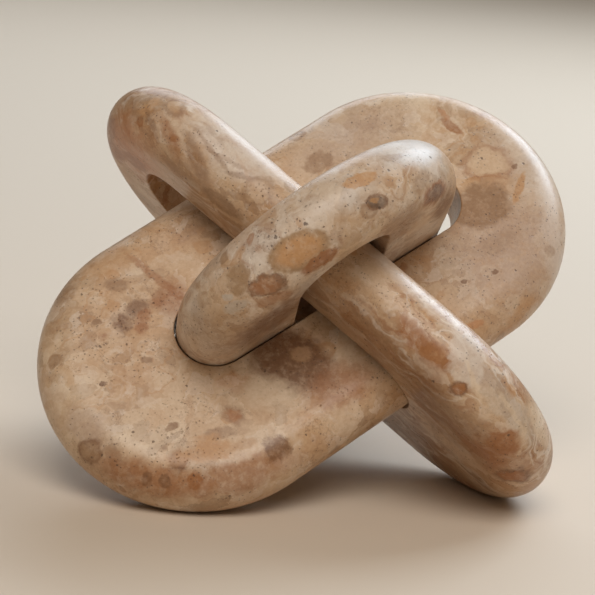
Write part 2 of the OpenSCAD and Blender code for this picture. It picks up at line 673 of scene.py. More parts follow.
class Board:
    """The node tree of one material, with a single method that adds nodes.

    A Mix node has sockets for several types of data, so those for colours go by number.
    """

    MIX_SHARE = 0
    MIX_BELOW = 6
    MIX_ABOVE = 7
    MIX_RESULT = 2

    def __init__(self, name: str) -> None:
        """Makes an empty node material.

        Args:
            name: the material's name.
        """
        self.material = bpy.data.materials.new(name)
        self.material.use_nodes = True
        self.tree = self.material.node_tree
        self.tree.nodes.clear()

    def node(
        self,
        kind: str,
        settings: dict[str, Any] | None = None,
        sockets: dict[int | str, Any] | None = None,
        out: int | str = 0,
    ) -> Wire:
        """Adds a node.

        Args:
            kind: the node's type.
            settings: its settings, set first; stops are those of a colour ramp.
            sockets: values or wires of its inputs, by name or number.
            out: the output that is handed back.

        Returns:
            That output, or the first input of a node without outputs.
        """
        made = self.tree.nodes.new(kind)
        for name, value in (settings or {}).items():
            if name == "stops":
                self._stops(made.color_ramp, value)
            else:
                setattr(made, name, value)
        for key, value in (sockets or {}).items():
            if isinstance(value, Wire):
                self.tree.links.new(value.socket, made.inputs[key])
            else:
                made.inputs[key].default_value = value
        return Wire(self, made.outputs[out] if made.outputs else made.inputs[0])

    @staticmethod
    def _stops(ramp: bpy.types.ColorRamp, stops: list[tuple[float, Tone]]) -> None:
        """Gives a ramp sharp bands of tones.

        Args:
            ramp: the ramp.
            stops: where each band starts, and its tone.
        """
        ramp.interpolation = "CONSTANT"
        for number, (position, tone) in enumerate(stops):
            fresh = number >= len(ramp.elements)
            stop = ramp.elements.new(position) if fresh else ramp.elements[number]
            stop.position = position
            stop.color = tone.lit

    def here(self) -> Wire:
        """The place on the piece, in metres."""
        return self.node("ShaderNodeTexCoord", out="Object")

    def mix(self, below: Wire | Lit, above: Wire | Lit, share: Wire | float, blend: str = "MIX") -> Wire:
        """One colour laid over another.

        Args:
            below: the lower colour.
            above: the upper colour.
            share: how much the upper one covers.
            blend: how the two are blended.

        Returns:
            The mixed colour.
        """
        settings = {"data_type": "RGBA", "blend_type": blend, "clamp_factor": True}
        sockets = {self.MIX_SHARE: share, self.MIX_BELOW: below, self.MIX_ABOVE: above}
        return self.node("ShaderNodeMix", settings, sockets, self.MIX_RESULT)

    def tones(self, value: Wire, stops: list[tuple[float, Tone]]) -> Wire:
        """Sharp bands of tones along a value from nought to one."""
        return self.node("ShaderNodeValToRGB", {"stops": stops}, {0: value})

    def fade(self, value: Wire, nought_at: float, one_at: float) -> Wire:
        """A smooth step from nought to one, which rises or falls with a value.

        Args:
            value: what the step follows.
            nought_at: the value at which the step is nought, and before which it stays so.
            one_at: the value at which it is one, and past which it stays so.

        Returns:
            The step.
        """
        rising = nought_at <= one_at
        sockets = {
            "Value": value,
            "From Min": min(nought_at, one_at),
            "From Max": max(nought_at, one_at),
            "To Min": 0.0 if rising else 1.0,
            "To Max": 1.0 if rising else 0.0,
        }
        return self.node("ShaderNodeMapRange", {"interpolation_type": "SMOOTHSTEP"}, sockets)

    def noise(
        self, at: Wire, scale: float, detail: float = 3.0, rough: float = 0.55, out: int | str = 0
    ) -> Wire:
        """A cloud noise from nought to one, or its colour where that output is asked for."""
        sockets = {"Vector": at, "Scale": scale, "Detail": detail, "Roughness": rough}
        return self.node("ShaderNodeTexNoise", None, sockets, out)

    def shift(self, at: Wire, offset: CloudOffset) -> Wire:
        """A place moved by a fixed offset."""
        return self.node("ShaderNodeVectorMath", {"operation": "ADD"}, {0: at, 1: offset.value})

    def stretch(self, at: Wire, share: float) -> Wire:
        """A place with its long direction shrunk to a share, so that a pattern on it is drawn out."""
        sockets = {"Vector": at, "Scale": (share, 1.0, 1.0)}
        return self.node("ShaderNodeMapping", {"vector_type": "POINT"}, sockets)

    def wobble(self, at: Wire, scale: float, reach: float, detail: float = 2.0) -> Wire:
        """A place moved about by noise: plus the reach times the noise's colour less its middle value.

        Args:
            at: the place.
            scale: the noise's scale.
            reach: twice the furthest that a place can move along an axis.
            detail: the noise's detail.

        Returns:
            The moved place.
        """
        cloud = self.noise(at, scale, detail, rough=0.6, out="Color")
        sockets = {0: cloud, 1: (CLOUD_MIDDLE, CLOUD_MIDDLE, CLOUD_MIDDLE)}
        centred = self.node("ShaderNodeVectorMath", {"operation": "SUBTRACT"}, sockets)
        sockets = {0: centred, 1: (reach, reach, reach), 2: at}
        return self.node("ShaderNodeVectorMath", {"operation": "MULTIPLY_ADD"}, sockets)

    def cells(self, at: Wire, scale: float) -> tuple[Wire, list[Wire]]:
        """Scattered points, each with its own random numbers.

        Args:
            at: the place.
            scale: how many points lie along a unit of it.

        Returns:
            The distance to the nearest point, and that point's three random numbers.
        """
        settings = {"feature": "F1", "voronoi_dimensions": "3D"}
        sockets = {"Vector": at, "Scale": scale}
        distance = self.node("ShaderNodeTexVoronoi", settings, sockets, "Distance")
        cell = distance.socket.node.outputs["Color"]
        parts = self.node("ShaderNodeSeparateColor", None, {0: Wire(self, cell)})
        return distance, [Wire(self, socket) for socket in parts.socket.node.outputs]

    def bump(self, height: Wire, depth: float) -> Wire:
        """A bumped normal, from a height that is measured in depths."""
        return self.node("ShaderNodeBump", None, {"Height": height, "Strength": 1.0, "Distance": depth})

    def surface(self, sockets: dict[str, Any]) -> bpy.types.Material:
        """Ends the material in a Principled shader.

        Args:
            sockets: values or wires of the shader's inputs.

        Returns:
            The material.
        """
        shader = self.node("ShaderNodeBsdfPrincipled", None, sockets)
        self.node("ShaderNodeOutputMaterial", None, {0: shader})
        return self.material


def skin_tree(skin: bpy.types.Object) -> BVHTree:
    """A search tree of a mesh, in the part's frame."""
    mesh = skin.data
    return BVHTree.FromPolygons([v.co for v in mesh.vertices], [p.vertices for p in mesh.polygons])


def under_pixel(trees: list[BVHTree], view: PhotoView, pixel: tuple[float, float]) -> Array:
    """The nearest point of some meshes under a pixel of the picture.

    Args:
        trees: the meshes' search trees.
        view: the camera.
        pixel: place in the picture.

    Returns:
        The point, in the part's frame.
    """
    eye = Vector(view.place())
    aim = Vector(view.ray(pixel))
    hits = []
    for tree in trees:
        spot, _, _, distance = tree.ray_cast(eye, aim)
        if spot is not None:
            hits.append((distance, np.array(spot)))
    if not hits:
        raise ValueError(f"no stone of this link lies under pixel {pixel}")
    return min(hits, key=lambda hit: hit[0])[1]


@dataclass(frozen=True)
class Mark:
    """A mark laid on the stone where the picture shows it: mostly a fossil, a pebble or a stain, while some
    marks are painted shade, a painted highlight or painted warm reflection.

    Attributes:
        pixel: its middle, in the picture.
        radii: its half width and half height, in pixels.
        tone: its colour.
        turn: its turn in the picture, in degrees anticlockwise.
        rim: the colour of its outer part, where that differs.
        share: how much of the ground it covers.
        soft: the width over which its outline fades, as a share of its radii.
        DEPTH: half the depth of any mark, as a share of its longer radius.
        FINE_RADIUS: the shorter radius up to which a mark counts as fine.
        FINE_SOFT: the softness below which a mark counts as fine.
    """

    DEPTH = 1.6
    FINE_RADIUS = 8.0
    FINE_SOFT = 0.3

    pixel: tuple[float, float]
    radii: tuple[float, float]
    tone: Tone
    turn: float = 0.0
    rim: Tone | None = None
    share: float = 0.8
    soft: float = 0.45

    @property
    def is_fine(self) -> bool:
        """Whether the mark is so small or so sharp that its outline is only a little ragged."""
        return min(self.radii) <= self.FINE_RADIUS or self.soft < self.FINE_SOFT

    def reach(self, board: Board, at: Wire, spot: Array, view: PhotoView) -> Wire:
        """The distance from the mark's middle, which is one all over an ellipsoid of its radii.

        Args:
            board: the material.
            at: the place on the piece, in metres.
            spot: the mark's middle on the stone.
            view: the camera in whose picture the radii are measured.

        Returns:
            The distance.
        """
        right, above, back = view.axes()
        spin = math.radians(self.turn)
        across = math.cos(spin) * right + math.sin(spin) * above
        turn = Matrix(np.stack([across, np.cross(back, across), back], axis=1).tolist())
        pixel_width = float(np.linalg.norm(spot - view.place())) * view.pixel_size()
        deep = self.DEPTH * max(self.radii)
        sockets = {
            "Vector": at,
            "Location": spot,
            "Rotation": turn.to_euler("XYZ"),
            "Scale": [radius * pixel_width for radius in (*self.radii, deep)],
        }
        inside = board.node("ShaderNodeMapping", {"vector_type": "TEXTURE"}, sockets)
        return board.node("ShaderNodeVectorMath", {"operation": "LENGTH"}, {0: inside}, "Value")


class CloudOffset(Enum):
    """Offsets, in centimetres, that keep the layers of the marble from matching one another."""

    WARMTH = (7.0, 3.0, 1.0)
    LINES = (3.0, 1.0, 8.0)
    SWIRLS = (4.0, 4.0, 4.0)
    VEINS = (2.0, 9.0, 4.0)
    HOLES = (5.0, 5.0, 5.0)


@dataclass(frozen=True)
class MarbleFinish:
    """Satin fossil marble: mottled ground, scattered clasts, veins, pits, and the marks seen in front.

    Its patterns are scaled in centimetres, apart from the marks.

    Attributes:
        name: the material's name.
        pale: the ground's pale tone.
        main: the ground's main tone.
        warm: the tone of the warm clouds and of some patches.
        seed: the offset of the patterns, which differs from link to link.
        streak: strength of the streaks along the link.
        stretch: share to which the place is shrunk along the link, to draw out patches and swirls.
        swirl_share: strength of the wavy bands.
        warm_share: strength of the warm clouds.
        patch_share: strength of the patches.
        clast_share: share of the scattered points that have a clast.
        vein_share: strength of the veins.
        marks: the marks seen in front, laid one over another in this order; some of them are painted shade,
            painted highlights or painted warm reflection.
        pale_mottle: strength of the pale mottling.
        dark_mottle: strength of the dark mottling.
        line_share: strength of the thin wavy lines.
        patch_layers: scale and relative strength of each layer of patches.
        swirl_waves: radians of the swirls' wave from a cloud's lowest value to its highest.
        clast_cover: how much of the ground a scattered clast covers.
        core_share: how much of the ground shows in the core of a scattered clast.
        mark_cover: the least that a mark covers where the ground shows through it.
        grain_share: strength of the grain in the colour.
        pit_points: share of the closely scattered points that have a pit.
        pit_shares: strength of the faintest pit, and how much more the strongest has.
        hole_points: share of the widely scattered points that have a hole.
        hole_share: strength of the holes.
        satin: roughness of the stone where the grain is lowest.
        grain_rough: roughness that the grain adds.
        pit_rough: roughness that a pit adds.
        grain_height: height of the grain, as a share of the depth of a pit.
        shine: level of the stone's reflection.
        pit_depth: depth of a pit, in metres.
    """

    name: str
    pale: Tone
    main: Tone
    warm: Tone
    seed: Triple
    streak: float
    stretch: float
    swirl_share: float
    warm_share: float
    patch_share: float
    clast_share: float
    vein_share: float
    marks: tuple[Mark, ...]
    pale_mottle: float = 0.5
    dark_mottle: float = 0.45
    line_share: float = 0.4
    patch_layers: tuple[tuple[float, float], ...] = ((0.75, 1.0), (1.9, 0.8))
    swirl_waves: float = 55.0
    clast_cover: float = 0.6
    core_share: float = 0.5
    mark_cover: float = 0.65
    grain_share: float = 0.13
    pit_points: float = 0.7
    pit_shares: tuple[float, float] = (0.15, 0.55)
    hole_points: float = 0.2
    hole_share: float = 0.65
    satin: float = 0.28
    grain_rough: float = 0.14
    pit_rough: float = 0.3
    grain_height: float = 0.14
    shine: float = 0.38
    pit_depth: float = 0.25 * MM

    def make(self, link: StoneLink, skins: list[bpy.types.Object], view: PhotoView) -> bpy.types.Material:
        """Builds the material for a link.

        Args:
            link: the link, whose own axes the pattern follows.
            skins: the link's meshes, on which the marks are placed.
            view: the camera through whose pixels they are placed.

        Returns:
            The material.
        """
        board = Board(self.name)
        here = board.here()
        own = self.own_place(board, here, link.place)
        drift = board.wobble(own, scale=0.7, reach=0.9, detail=3.0)
        long_drift = board.stretch(drift, self.stretch)
        colour = self.ground(board, own, drift)
        for scale, strength in self.patch_layers:
            colour = self.patches(board, long_drift, colour, scale, self.patch_share * strength)
        colour = self.swirls(board, long_drift, colour)
        colour = self.scattered(board, drift, colour)
        colour = self.veins(board, drift, colour)
        colour = self.placed(board, here, colour, [skin_tree(skin) for skin in skins], view)
        colour, height, rough = self.grain_and_pits(board, own, colour)
        return board.surface(
            {
                "Base Color": colour,
                "Roughness": rough,
                "Specular IOR Level": self.shine,
                "Normal": board.bump(height, self.pit_depth),
            }
        )

    def own_place(self, board: Board, here: Wire, place: LinkPlace) -> Wire:
        """The place in the link's own axes, in centimetres, away from the other links' patterns.

        Args:
            board: the material.
            here: the place on the piece, in metres.
            place: where the link lies.

        Returns:
            The place that the patterns read.
        """
        turn = Matrix(place.axes.T.tolist())
        middle = turn @ Vector(place.middle) * -CM_PER_M
        sockets = {
            "Vector": here,
            "Location": middle + Vector(self.seed),
            "Rotation": turn.to_euler("XYZ"),
            "Scale": (CM_PER_M, CM_PER_M, CM_PER_M),
        }
        return board.node("ShaderNodeMapping", {"vector_type": "POINT"}, sockets)

    def ground(self, board: Board, own: Wire, drift: Wire) -> Wire:
        """The ground: clouds of three tones, streaks along the link, mottling and thin wavy lines.

        Args:
            board: the material.
            own: the place in the link's own axes.
            drift: that place moved about by noise.

        Returns:
            The ground's colour.
        """
        cloud = board.noise(drift, scale=0.33, detail=4.0, rough=0.6)
        colour = board.mix(self.pale.lit, self.main.lit, board.fade(cloud, 0.36, 0.62))
        cloud = board.noise(board.shift(drift, CloudOffset.WARMTH), scale=0.24)
        colour = board.mix(colour, self.warm.lit, board.fade(cloud, 0.46, 0.68) * self.warm_share)
        streak = board.noise(board.stretch(drift, 0.12), scale=1.6, detail=4.0, rough=0.65)
        colour = board.mix(colour, Tone.RUST.lit, board.fade(streak, 0.52, 0.74) * self.streak)
        colour = board.mix(colour, Tone.TAUPE.lit, board.fade(streak, 0.46, 0.30) * self.streak)
        mottle = board.noise(drift, scale=1.5, detail=8.0, rough=0.72)
        colour = board.mix(colour, Tone.CHALK.lit, board.fade(mottle, 0.52, 0.74) * self.pale_mottle)
        colour = board.mix(colour, Tone.BROWN.lit, board.fade(mottle, 0.47, 0.24) * self.dark_mottle)
        wave = board.noise(board.shift(own, CloudOffset.LINES), scale=1.3, detail=5.0, rough=0.62)
        line = board.fade(abs(wave - CLOUD_MIDDLE), 0.02, 0.002)
        where = board.fade(board.noise(drift, scale=0.6, detail=2.0), 0.46, 0.6)
        return board.mix(colour, Tone.BROWN.lit, line * where * self.line_share)

    def patches(self, board: Board, drift: Wire, colour: Wire, scale: float, share: float) -> Wire:
        """Ragged patches of several tones that fill the stone, some stronger than others.

        Args:
            board: the material.
            drift: the place, moved about and drawn out.
            colour: the colour so far.
            scale: how many patches lie along a centimetre.
            share: strength of the strongest patches.

        Returns:
            The colour with the patches.
        """
        ragged = board.wobble(drift, scale=1.7, reach=0.9, detail=6.0)
        _, (pick, _, hue) = board.cells(ragged, scale)
        stops = [
            (0.0, Tone.CREAM),
            (0.2, Tone.TAUPE),
            (0.34, Tone.BEIGE),
            (0.5, self.warm),
            (0.62, Tone.CHALK),
            (0.78, Tone.SAND),
            (0.9, Tone.BROWN),
        ]
        return board.mix(colour, board.tones(hue, stops), pick * share)

    def swirls(self, board: Board, drift: Wire, colour: Wire) -> Wire:
        """Wavy bands, brown and pale by turns: the sine of a cloud's value, in some places only.

        Args:
            board: the material.
            drift: the place, moved about and drawn out.
            colour: the colour so far.

        Returns:
            The colour with the bands.
        """
        bent = board.wobble(drift, scale=0.9, reach=0.8, detail=3.0)
        cloud = board.noise(bent, scale=0.5, detail=2.0, rough=0.5)
        wave = board.node("ShaderNodeMath", {"operation": "SINE"}, {0: cloud * self.swirl_waves})
        where = board.noise(board.shift(drift, CloudOffset.SWIRLS), scale=0.45, detail=2.0)
        strength = board.fade(where, 0.42, 0.6) * self.swirl_share
        colour = board.mix(colour, Tone.RUST.lit, board.fade(wave, 0.5, 1.0) * strength)
        return board.mix(colour, Tone.CHALK.lit, board.fade(wave, -0.5, -1.0) * strength)

    def scattered(self, board: Board, drift: Wire, colour: Wire) -> Wire:
        """Rounded clasts of random size and tone at scattered points, with the ground in their cores.

        Args:
            board: the material.
            drift: the place, moved about by noise.
            colour: the colour so far.

        Returns:
            The colour with the clasts.
        """
        distance, (pick, grow, hue) = board.cells(drift, scale=1.15)
        radius = 0.15 + grow * 0.3
        past_edge = distance - radius
        inside = board.fade(past_edge, 0.06, -0.04) * (pick < self.clast_share)
        stops = [
            (0.0, Tone.TAUPE),
            (0.3, Tone.OCHRE),
            (0.5, Tone.CREAM),
            (0.66, Tone.OLIVE),
            (0.82, Tone.RUST),
        ]
        core = board.fade(past_edge, -0.05, -0.3) * self.core_share
        clast = board.mix(board.tones(hue, stops), colour, core)
        return board.mix(colour, clast, inside * self.clast_cover)

    def veins(self, board: Board, drift: Wire, colour: Wire) -> Wire:
        """Thin ochre veins where a cloud passes its middle value, in some places only.

        Args:
            board: the material.
            drift: the place, moved about by noise.
            colour: the colour so far.

        Returns:
            The colour with the veins.
        """
        cloud = board.noise(board.shift(drift, CloudOffset.VEINS), scale=0.55, detail=4.0, rough=0.5)
        line = board.fade(abs(cloud - CLOUD_MIDDLE), 0.022, 0.004)
        where = board.fade(board.noise(drift, scale=0.4, detail=2.0), 0.5, 0.62)
        return board.mix(colour, Tone.OCHRE.lit, line * where * self.vein_share)

    def placed(
        self, board: Board, here: Wire, colour: Wire, trees: list[BVHTree], view: PhotoView
    ) -> Wire:
        """The marks seen in front, some of them painted shade, highlight or reflection, each an ellipsoid
        round the point of the stone under its pixel.

        Their outlines are ragged, and the ground shows through them in small patches.

        Args:
            board: the material.
            here: the place on the piece, in metres.
            colour: the colour so far.
            trees: search trees of the link's meshes.
            view: the camera through whose pixels the marks are placed.

        Returns:
            The colour with the marks.
        """
        bent = board.wobble(here, scale=100.0, reach=9.0 * MM)
        loose = board.wobble(bent, scale=420.0, reach=4.0 * MM, detail=4.0)
        tight = board.wobble(here, scale=420.0, reach=2.6 * MM, detail=4.0)
        cloud = board.noise(here, scale=330.0, detail=5.0, rough=0.65)
        cover = board.fade(cloud, 0.32, 0.56) * (1 - self.mark_cover) + self.mark_cover
        for mark in self.marks:
            spot = under_pixel(trees, view, mark.pixel)
            reach = mark.reach(board, tight if mark.is_fine else loose, spot, view)
            tone: Wire | Lit = mark.tone.lit
            if mark.rim:
                tone = board.mix(tone, mark.rim.lit, board.fade(reach, 0.5, 0.95))
            inside = board.fade(reach, 1.0 + mark.soft / 2, 1.0 - mark.soft / 2)
            colour = board.mix(colour, tone, inside * cover * mark.share)
        return colour

    def grain_and_pits(self, board: Board, own: Wire, colour: Wire) -> tuple[Wire, Wire, Wire]:
        """Fine grain over all, small dark pits in patches, and a few larger holes.

        Args:
            board: the material.
            own: the place in the link's own axes.
            colour: the colour so far.

        Returns:
            The colour, the height of the surface and its roughness.
        """
        grain = board.noise(own, scale=8.0, detail=5.0, rough=0.72)
        colour = board.mix(colour, board.fade(grain, 0.3, 0.7), self.grain_share, "SOFT_LIGHT")
        ragged = board.wobble(own, scale=9.0, reach=0.13)
        patch = board.fade(board.noise(own, scale=0.55), 0.35, 0.56)
        distance, (pick, grow, dark) = board.cells(ragged, scale=8.5)
        pit = board.fade(distance - grow * 0.2, 0.15, 0.05) * (pick < self.pit_points) * patch
        distance, (pick, grow, _) = board.cells(board.shift(ragged, CloudOffset.HOLES), scale=2.7)
        hole = board.fade(distance - grow * 0.09, 0.075, 0.02) * (pick < self.hole_points)
        faintest, more = self.pit_shares
        sockets = {0: pit * (dark * more + faintest), 1: hole * self.hole_share}
        sunk = board.node("ShaderNodeMath", {"operation": "MAXIMUM"}, sockets)
        colour = board.mix(colour, Tone.PIT.lit, sunk)
        height = grain * self.grain_height - sunk
        return colour, height, self.satin + grain * self.grain_rough + sunk * self.pit_rough


BROAD_MARBLE = MarbleFinish(
    name="broad_fossil_marble",
    pale=Tone.CREAM,
    main=Tone.BEIGE,
    warm=Tone.OCHRE,
    seed=(0.0, 0.0, 0.0),
    streak=0.12,
    stretch=0.85,
    swirl_share=0.14,
    warm_share=0.5,
    patch_share=0.38,
    clast_share=0.25,
    vein_share=0.45,
    marks=(
        # Chalk band along the right edge: paler stone, and a painted highlight on the lit edge
        Mark(pixel=(551, 215), radii=(11, 70), tone=Tone.CHALK, turn=4, share=0.7, soft=1.0),
        Mark(pixel=(512, 250), radii=(62, 54), tone=Tone.MAUVE, turn=40, share=0.8, soft=1.2),
        Mark(pixel=(345, 140), radii=(60, 24), tone=Tone.MAUVE, turn=25, share=0.6, soft=1.2),
        Mark(pixel=(112, 262), radii=(32, 14), tone=Tone.OCHRE, turn=20, share=0.6, soft=0.9),
        Mark(pixel=(87, 428), radii=(26, 16), tone=Tone.MAUVE, turn=-30, share=0.6, soft=1.0),
        Mark(pixel=(124, 434), radii=(22, 11), tone=Tone.CREAM, turn=-20, share=0.3, soft=0.9),
        Mark(pixel=(274, 389), radii=(30, 18), tone=Tone.CREAM, turn=15, share=0.7, soft=0.9),
        # Rust bands on the lower rim: the stone's orange patches, made broader and stronger as painted warm
        # light reflected from below
        Mark(pixel=(150, 478), radii=(56, 17), tone=Tone.RUST, turn=-12, share=0.8, soft=1.1),
        Mark(pixel=(240, 474), radii=(54, 15), tone=Tone.RUST, turn=16, share=0.75, soft=1.1),
        # Brown patch under the front and crossing links: a brown clast, spread wider as painted shade under
        # them
        Mark(pixel=(292, 360), radii=(44, 28), tone=Tone.BROWN, turn=-20, share=0.9, soft=0.6),
        Mark(pixel=(301, 354), radii=(11, 8), tone=Tone.SAND),
        Mark(pixel=(340, 385), radii=(34, 20), tone=Tone.RUST, turn=20, share=0.7, soft=0.9),
        Mark(pixel=(65, 295), radii=(13, 8), tone=Tone.TAUPE, turn=38, share=0.65, soft=0.7),
        Mark(pixel=(116, 285), radii=(12, 7), tone=Tone.TAUPE, turn=-8, share=0.75),
        Mark(pixel=(125, 322), radii=(10, 9), tone=Tone.BROWN, share=0.85, soft=0.8),
        Mark(pixel=(137, 308), radii=(12, 8), tone=Tone.BROWN, turn=20, share=0.75, soft=0.8),
        Mark(pixel=(145, 315), radii=(9, 9), tone=Tone.RUST, share=0.8, soft=0.8),
        Mark(pixel=(141, 327), radii=(7, 6), tone=Tone.RUST, share=0.85, soft=0.8),
        Mark(pixel=(170, 298), radii=(14, 18), tone=Tone.RUST, turn=-15, share=0.8, soft=1.0),
        Mark(pixel=(113, 306), radii=(7, 6), tone=Tone.OCHRE, share=0.6),
        Mark(pixel=(158, 279), radii=(40, 4), tone=Tone.RUST, turn=-38, share=0.65, soft=0.8),
        Mark(pixel=(146, 360), radii=(6, 4), tone=Tone.TAUPE),
        Mark(pixel=(103, 384), radii=(4, 2.5), tone=Tone.BROWN),
        Mark(pixel=(97, 322), radii=(5, 3), tone=Tone.TAUPE, share=0.9),
        Mark(pixel=(172, 427), radii=(7, 4), tone=Tone.TAUPE, turn=20, share=1.0),
        Mark(pixel=(221, 433), radii=(17, 6), tone=Tone.TAUPE, turn=10, share=0.7),
        Mark(pixel=(232, 413), radii=(12, 11), tone=Tone.RUST, rim=Tone.TAUPE, share=0.85, soft=0.8),
        Mark(pixel=(232, 381), radii=(16, 9), tone=Tone.ORANGE, turn=10, share=0.3, soft=0.9),
        Mark(pixel=(277, 449), radii=(17, 13), tone=Tone.BROWN, turn=20, share=0.85),
        Mark(pixel=(182, 459), radii=(9, 12), tone=Tone.BROWN, turn=15, share=1.0, soft=0.6),
        Mark(pixel=(147, 479), radii=(5, 8), tone=Tone.BROWN, share=0.7),
        Mark(pixel=(165, 482), radii=(6, 8), tone=Tone.BROWN, share=0.7),
        Mark(pixel=(195, 481), radii=(8, 9), tone=Tone.RUST, share=0.8),
        Mark(pixel=(89, 452), radii=(14, 14), tone=Tone.TAUPE, rim=Tone.BROWN, share=0.75),
        Mark(pixel=(204, 452), radii=(34, 11), tone=Tone.OCHRE, turn=8, share=0.95, soft=0.8),
        Mark(pixel=(245, 444), radii=(12, 5), tone=Tone.SAND, turn=14, share=0.7),
        Mark(pixel=(190, 236), radii=(16, 8), tone=Tone.RUST, turn=30, share=0.25, soft=1.0),
        Mark(pixel=(320, 161), radii=(16, 9), tone=Tone.TAUPE, turn=25, share=0.65),
        Mark(pixel=(451, 126), radii=(13, 4.5), tone=Tone.RUST, turn=-38, share=0.8),
        Mark(pixel=(444, 114), radii=(9, 3), tone=Tone.ORANGE, turn=-50, share=0.4),
        Mark(pixel=(471, 122), radii=(6, 6), tone=Tone.OCHRE, share=0.45),
        Mark(pixel=(524, 158), radii=(30, 46), tone=Tone.PEARL, turn=25, share=0.5, soft=1.0),
        Mark(pixel=(486, 164), radii=(24, 19), tone=Tone.OCHRE, rim=Tone.RUST, share=0.75),
        Mark(pixel=(486, 163), radii=(20, 15), tone=Tone.CREAM, share=0.6),
        Mark(pixel=(482, 205), radii=(30, 22), tone=Tone.TAUPE, turn=10, share=0.95, soft=0.35),
        Mark(pixel=(512, 184), radii=(13, 11), tone=Tone.OCHRE, share=0.3),
        Mark(pixel=(519, 188), radii=(4, 18), tone=Tone.OCHRE, turn=-20, share=0.85),
        Mark(pixel=(515, 166), radii=(3, 3), tone=Tone.BROWN, share=0.7),
        Mark(pixel=(464, 281), radii=(3.5, 2.5), tone=Tone.BROWN),
        Mark(pixel=(496, 272), radii=(3.5, 2.5), tone=Tone.BROWN),
        Mark(pixel=(550, 251), radii=(7, 6), tone=Tone.TAUPE, share=0.4),
        Mark(pixel=(520, 316), radii=(26, 9), tone=Tone.OCHRE, turn=48, share=0.7, soft=0.9),
        Mark(pixel=(474, 325), radii=(11, 4), tone=Tone.ORANGE, turn=20, share=0.5),
        Mark(pixel=(497, 243), radii=(24, 12), tone=Tone.TAUPE, turn=20, share=0.35, soft=0.9),
    ),
)

